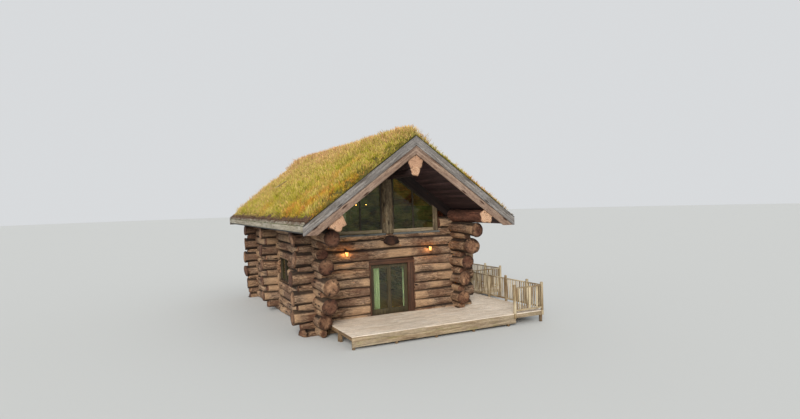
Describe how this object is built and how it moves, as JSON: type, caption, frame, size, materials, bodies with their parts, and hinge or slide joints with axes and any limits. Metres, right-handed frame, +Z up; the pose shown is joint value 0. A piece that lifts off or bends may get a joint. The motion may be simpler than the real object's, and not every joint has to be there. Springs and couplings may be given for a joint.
{
  "type": "log cabin",
  "caption": "Log cabin with saddle-notched log walls, a turf roof over a deep front gable, glazed double doors, a glazed gable and a timber deck with a balustrade.",
  "frame": {"origin": "on the level ground under the front wall, midway between the side walls, at the outer side of the front wall's logs", "axes": "+X to the right along the front, +Y from the front door to the back of the cabin, +Z up from the ground"},
  "size_m": [12.6, 16.62, 8.21],
  "materials": {
    "log_wood": "weathered, peeled",
    "dark_timber": "dark stained",
    "joinery": "dark stained",
    "door_joinery": "dark olive stain",
    "red_timber": "oiled, rough sawn",
    "barge_wood": "weathered silver grey",
    "eave_wood": "weathered, mossy",
    "turf": "growing grass",
    "pane": "clear",
    "floor_wood": "oiled boards",
    "bearer_wood": "rough sawn",
    "deck_wood": "weathered boards",
    "rail_wood": "weathered",
    "black_metal": "satin black"
  },
  "bodies": {
    "cabin": {"front_sill_logs": "log_wood", "front_wall_left": "log_wood", "front_wall_right": "log_wood", "front_wall_over_door": "log_wood", "left_wall": "log_wood", "right_wall": "log_wood", "back_wall": "log_wood", "cross_wall_ends": "log_wood", "plate_log_left": "log_wood", "plate_log_right": "log_wood", "ridge_log": "log_wood", "joist_log": "log_wood", "gable_post_front": "log_wood", "gable_post_back": "log_wood", "gable_rafters_front": "dark_timber", "gable_rafters_back": "dark_timber", "roof_slab_left": "dark_timber", "roof_slab_right": "dark_timber", "gable_frame_front": "joinery", "gable_frame_back": "joinery", "gable_sill_front": "joinery", "gable_sill_back": "joinery", "door_frame": "joinery", "window_frames": "joinery", "door_trim": "red_timber", "bargeboards_front": "barge_wood", "bargeboards_back": "barge_wood", "eave_boards_left": "eave_wood", "eave_boards_right": "eave_wood", "turf_left": "turf", "turf_right": "turf", "gable_glass_front": "pane", "gable_glass_back": "pane", "window_glass": "pane", "floor": "floor_wood", "floor_bearers": "bearer_wood", "deck_frame": "deck_wood", "deck_posts": "deck_wood", "deck_boards_front": "deck_wood", "deck_boards_side": "deck_wood", "deck_fascia": "deck_wood", "balustrade_front": "rail_wood", "balustrade_side": "rail_wood", "balustrade_platform": "rail_wood", "lanterns": "black_metal"},
    "door_left": {"door_leaf_left": "door_joinery", "door_glass_left": "pane"},
    "door_right": {"door_leaf_right": "door_joinery", "door_glass_right": "pane", "door_handle": "black_metal"}
  },
  "joints": [
    {"name": "left_door_hinge", "type": "hinge", "parent": "cabin", "child": "door_left", "pos_m": [-0.832, 0.037, 0.5], "axis": [0, 0, -1], "range_deg": [0, 90]},
    {"name": "right_door_hinge", "type": "hinge", "parent": "cabin", "child": "door_right", "pos_m": [0.832, 0.037, 0.5], "axis": [0, 0, 1], "range_deg": [0, 90]}
  ]
}
